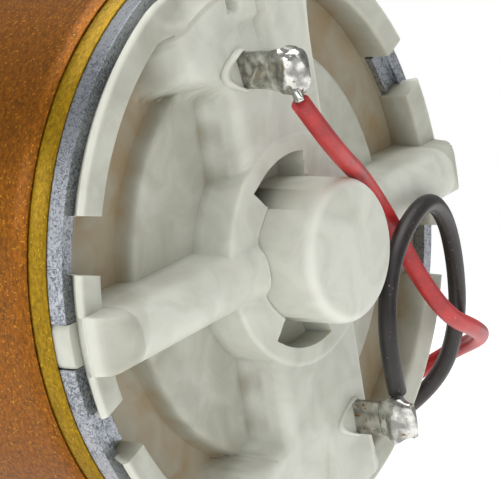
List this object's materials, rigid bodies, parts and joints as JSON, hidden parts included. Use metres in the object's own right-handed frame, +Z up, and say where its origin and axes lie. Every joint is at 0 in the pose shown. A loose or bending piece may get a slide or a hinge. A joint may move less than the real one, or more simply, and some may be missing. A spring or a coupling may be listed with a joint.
{
  "type": "geared dc motor",
  "caption": "Round brushed dc motor wrapped in amber film on a spur gearbox with an offset D-shaft, with a white nylon rear cap and two coiled leads.",
  "frame": {"origin": "on the gearbox's mounting face, in line with the motor's axis and in the middle of the mounting holes", "axes": "+X out of the mounting face along the output shaft, +Z up from the motor's axis to the output shaft"},
  "size_m": [0.0813, 0.0452, 0.037],
  "materials": {
    "gearbox_zinc": "zinc-plated, satin",
    "steel": "ground",
    "gear_steel": "sintered, oiled",
    "brass": "turned",
    "bronze": "sintered, oil-filled",
    "amber_film": "polyimide-type film, satin",
    "ferrite": "sintered ferrite, matt",
    "tinned_brass": "tinned, satin",
    "copper": "bright copper",
    "carbon": "pressed carbon, matt",
    "solder": "solder, bright",
    "zinc_plated_can": "zinc-plated, spangled",
    "nylon": "natural nylon, moulded",
    "tie_plastic": "natural nylon band",
    "red_insulation": "extruded PVC, satin",
    "black_insulation": "extruded PVC, satin",
    "lamination": "stacked laminations",
    "magnet_wire": "enamelled copper",
    "insulator": "vulcanised fibre",
    "phenolic": "moulded phenolic"
  },
  "bodies": {
    "stator": {"gearbox_housing": "gearbox_zinc", "gearbox_front_cover": "gearbox_zinc", "first_gear_pin": "steel", "second_gear_pin": "steel", "gear_pin_spacers": "brass", "cover_screws": "steel", "motor_screws": "steel", "output_front_bush": "bronze", "output_rear_bush": "bronze", "inner_film": "amber_film", "outer_film": "amber_film", "upper_magnet": "ferrite", "lower_magnet": "ferrite", "magnet_clips": "steel", "front_bearing": "bronze", "rear_bearing": "bronze", "upper_terminal": "tinned_brass", "upper_brush_arm": "copper", "upper_brush": "carbon", "upper_solder": "solder", "lower_terminal": "tinned_brass", "lower_brush_arm": "copper", "lower_brush": "carbon", "lower_solder": "solder", "motor_can": "zinc_plated_can", "end_cap": "nylon", "lead_tie": "tie_plastic", "red_lead": "red_insulation", "red_lead_coil": "red_insulation", "red_lead_tip": "solder", "red_lead_strands": "solder", "black_lead": "black_insulation", "black_lead_coil": "black_insulation", "black_lead_tip": "solder", "black_lead_strands": "solder"},
    "rotor": {"rotor_shaft": "steel", "rotor_core": "lamination", "rotor_windings": "magnet_wire", "core_insulators": "insulator", "rotor_spacer": "nylon", "commutator_hub": "phenolic", "commutator_bars": "copper", "motor_pinion": "brass"},
    "first_gear": {"first_wheel": "gear_steel", "first_small_gear": "gear_steel"},
    "second_gear": {"second_wheel": "gear_steel", "second_small_gear": "gear_steel"},
    "third_gear": {"third_wheel": "gear_steel", "third_small_gear": "gear_steel"},
    "output": {"output_gear": "gear_steel", "output_shaft": "steel"}
  },
  "joints": [
    {"name": "rotor_spin", "type": "hinge", "parent": "stator", "child": "rotor", "pos_m": [0, 0, 0], "axis": [1, 0, 0], "continuous": true},
    {"name": "first_gear_spin", "type": "hinge", "parent": "stator", "child": "first_gear", "pos_m": [0, -0.00942, -0.00121], "axis": [1, 0, 0], "continuous": true},
    {"name": "second_gear_spin", "type": "hinge", "parent": "stator", "child": "second_gear", "pos_m": [0, -0.00317, -0.00769], "axis": [1, 0, 0], "continuous": true},
    {"name": "third_gear_spin", "type": "hinge", "parent": "stator", "child": "third_gear", "pos_m": [0, -0.00942, -0.00121], "axis": [1, 0, 0], "continuous": true},
    {"name": "output_spin", "type": "hinge", "parent": "stator", "child": "output", "pos_m": [0, 0, 0.007], "axis": [1, 0, 0], "continuous": true}
  ],
  "couplings": [
    {"joint": "first_gear_spin", "follows": "rotor_spin", "ratio": -0.46154},
    {"joint": "second_gear_spin", "follows": "rotor_spin", "ratio": 0.23077},
    {"joint": "third_gear_spin", "follows": "rotor_spin", "ratio": -0.11538},
    {"joint": "output_spin", "follows": "rotor_spin", "ratio": 0.036437}
  ]
}
